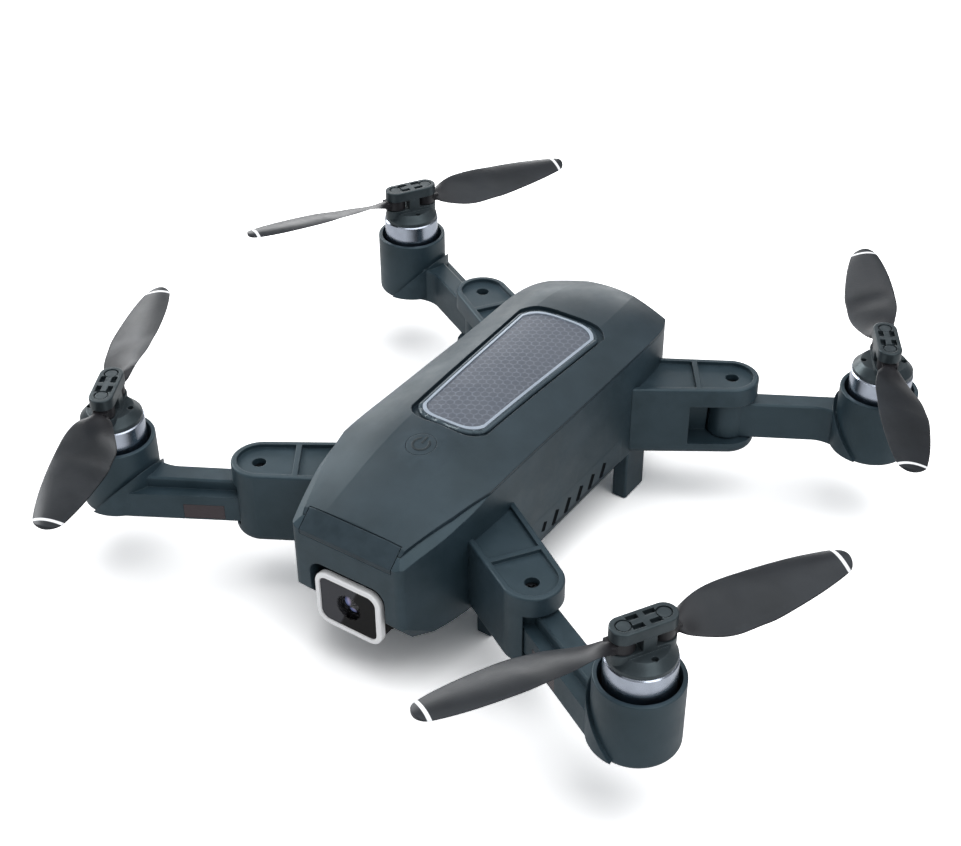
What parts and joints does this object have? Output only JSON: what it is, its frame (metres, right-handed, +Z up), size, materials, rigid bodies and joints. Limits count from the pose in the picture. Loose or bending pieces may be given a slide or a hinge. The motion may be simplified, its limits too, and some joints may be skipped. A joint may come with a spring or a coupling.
{
  "type": "folding camera drone",
  "caption": "Folding camera drone: slim grey body on short legs, hinged swing arms carrying motors with hinged folding propeller blades, tilting nose camera.",
  "frame": {"origin": "on the floor plane, midway between the motors", "axes": "+Z up, nose and camera towards -Y, +X to the machine's left seen from the nose"},
  "size_m": [0.2578, 0.272, 0.067],
  "materials": {
    "shell": "satin",
    "shell_top": "satin",
    "badge": "satin",
    "badge_rim": "satin",
    "board": "satin",
    "steel": "brushed",
    "black": "matte",
    "white_rim": "gloss",
    "window": "gloss",
    "contact": "polished",
    "lamp": "gloss",
    "winding": "satin",
    "can": "polished",
    "rotor": "satin",
    "blade": "satin"
  },
  "bodies": {
    "chassis": {"lower_shell": "shell", "upper_shell": "shell_top", "nose_cover": "shell_top", "badge_plate": "badge", "badge_rim": "badge_rim", "main_board": "board", "hinge_pins": "steel", "landing_feet": "shell", "hinge_ear_front_right": "shell", "hinge_ear_front_left": "shell", "hinge_ear_rear_right": "shell", "hinge_ear_rear_left": "shell"},
    "button": {"power_button": "shell_top"},
    "camera": {"camera_body": "black", "camera_frame": "white_rim", "camera_glass": "window", "camera_lens": "black"},
    "battery": {"battery_pack": "black", "battery_cap": "shell", "battery_contacts": "contact"},
    "latch": {"battery_latch": "shell"},
    "arm_front_right": {"arm_front_right": "shell", "arm_light_front_right": "lamp", "stator_front_right": "winding"},
    "rotor_front_right": {"motor_can_front_right": "can", "hub_base_front_right": "rotor", "hub_cap_front_right": "rotor", "blade_pins_front_right": "rotor"},
    "blade_a_front_right": {"blade_a_front_right": "blade"},
    "blade_b_front_right": {"blade_b_front_right": "blade"},
    "arm_front_left": {"arm_front_left": "shell", "arm_light_front_left": "lamp", "stator_front_left": "winding"},
    "rotor_front_left": {"motor_can_front_left": "can", "hub_base_front_left": "rotor", "hub_cap_front_left": "rotor", "blade_pins_front_left": "rotor"},
    "blade_a_front_left": {"blade_a_front_left": "blade"},
    "blade_b_front_left": {"blade_b_front_left": "blade"},
    "arm_rear_right": {"arm_rear_right": "shell", "arm_light_rear_right": "lamp", "stator_rear_right": "winding"},
    "rotor_rear_right": {"motor_can_rear_right": "can", "hub_base_rear_right": "rotor", "hub_cap_rear_right": "rotor", "blade_pins_rear_right": "rotor"},
    "blade_a_rear_right": {"blade_a_rear_right": "blade"},
    "blade_b_rear_right": {"blade_b_rear_right": "blade"},
    "arm_rear_left": {"arm_rear_left": "shell", "arm_light_rear_left": "lamp", "stator_rear_left": "winding"},
    "rotor_rear_left": {"motor_can_rear_left": "can", "hub_base_rear_left": "rotor", "hub_cap_rear_left": "rotor", "blade_pins_rear_left": "rotor"},
    "blade_a_rear_left": {"blade_a_rear_left": "blade"},
    "blade_b_rear_left": {"blade_b_rear_left": "blade"}
  },
  "joints": [
    {"name": "power_press", "type": "slide", "parent": "chassis", "child": "button", "axis": [0, 0, -1], "range_m": [0, 0.0004], "stiffness_N_per_m": 400},
    {"name": "camera_tilt", "type": "hinge", "parent": "chassis", "child": "camera", "pos_m": [0, -0.0728, 0.0252], "axis": [1, 0, 0], "range_deg": [-10, 80]},
    {"name": "battery_slide", "type": "slide", "parent": "chassis", "child": "battery", "axis": [0, 1, 0], "range_m": [0, 0.068]},
    {"name": "latch_press", "type": "slide", "parent": "battery", "child": "latch", "axis": [0, -1, 0], "range_m": [0, 0.0008], "stiffness_N_per_m": 500},
    {"name": "fold_front_right", "type": "hinge", "parent": "chassis", "child": "arm_front_right", "pos_m": [0.05, -0.0613, 0.03], "axis": [0.0246, -0.036, 0.999], "range_deg": [0, 111.7]},
    {"name": "spin_front_right", "type": "hinge", "parent": "arm_front_right", "child": "rotor_front_right", "pos_m": [0.09475, -0.0791, 0.055], "axis": [0, 0, -1], "continuous": true},
    {"name": "blade_fold_a_front_right", "type": "hinge", "parent": "rotor_front_right", "child": "blade_a_front_right", "pos_m": [0.09775, -0.0739, 0.0615], "axis": [0, 0, 1], "range_deg": [-75, 75]},
    {"name": "blade_fold_b_front_right", "type": "hinge", "parent": "rotor_front_right", "child": "blade_b_front_right", "pos_m": [0.09175, -0.0843, 0.0615], "axis": [0, 0, -1], "range_deg": [-75, 75]},
    {"name": "fold_front_left", "type": "hinge", "parent": "chassis", "child": "arm_front_left", "pos_m": [-0.05, -0.0613, 0.03], "axis": [0.0246, 0.036, -0.999], "range_deg": [0, 111.7]},
    {"name": "spin_front_left", "type": "hinge", "parent": "arm_front_left", "child": "rotor_front_left", "pos_m": [-0.09475, -0.0791, 0.055], "axis": [0, 0, 1], "continuous": true},
    {"name": "blade_fold_a_front_left", "type": "hinge", "parent": "rotor_front_left", "child": "blade_a_front_left", "pos_m": [-0.09775, -0.0739, 0.0615], "axis": [0, 0, -1], "range_deg": [-75, 75]},
    {"name": "blade_fold_b_front_left", "type": "hinge", "parent": "rotor_front_left", "child": "blade_b_front_left", "pos_m": [-0.09175, -0.0843, 0.0615], "axis": [0, 0, 1], "range_deg": [-75, 75]},
    {"name": "fold_rear_right", "type": "hinge", "parent": "chassis", "child": "arm_rear_right", "pos_m": [0.05, 0.0613, 0.03], "axis": [0.0246, 0.036, 0.999], "range_deg": [-111.7, 0]},
    {"name": "spin_rear_right", "type": "hinge", "parent": "arm_rear_right", "child": "rotor_rear_right", "pos_m": [0.09475, 0.0791, 0.055], "axis": [0, 0, 1], "continuous": true},
    {"name": "blade_fold_a_rear_right", "type": "hinge", "parent": "rotor_rear_right", "child": "blade_a_rear_right", "pos_m": [0.09775, 0.0739, 0.0615], "axis": [0, 0, -1], "range_deg": [-75, 75]},
    {"name": "blade_fold_b_rear_right", "type": "hinge", "parent": "rotor_rear_right", "child": "blade_b_rear_right", "pos_m": [0.09175, 0.0843, 0.0615], "axis": [0, 0, 1], "range_deg": [-75, 75]},
    {"name": "fold_rear_left", "type": "hinge", "parent": "chassis", "child": "arm_rear_left", "pos_m": [-0.05, 0.0613, 0.03], "axis": [0.0246, -0.036, -0.999], "range_deg": [-111.7, 0]},
    {"name": "spin_rear_left", "type": "hinge", "parent": "arm_rear_left", "child": "rotor_rear_left", "pos_m": [-0.09475, 0.0791, 0.055], "axis": [0, 0, -1], "continuous": true},
    {"name": "blade_fold_a_rear_left", "type": "hinge", "parent": "rotor_rear_left", "child": "blade_a_rear_left", "pos_m": [-0.09775, 0.0739, 0.0615], "axis": [0, 0, 1], "range_deg": [-75, 75]},
    {"name": "blade_fold_b_rear_left", "type": "hinge", "parent": "rotor_rear_left", "child": "blade_b_rear_left", "pos_m": [-0.09175, 0.0843, 0.0615], "axis": [0, 0, -1], "range_deg": [-75, 75]}
  ]
}
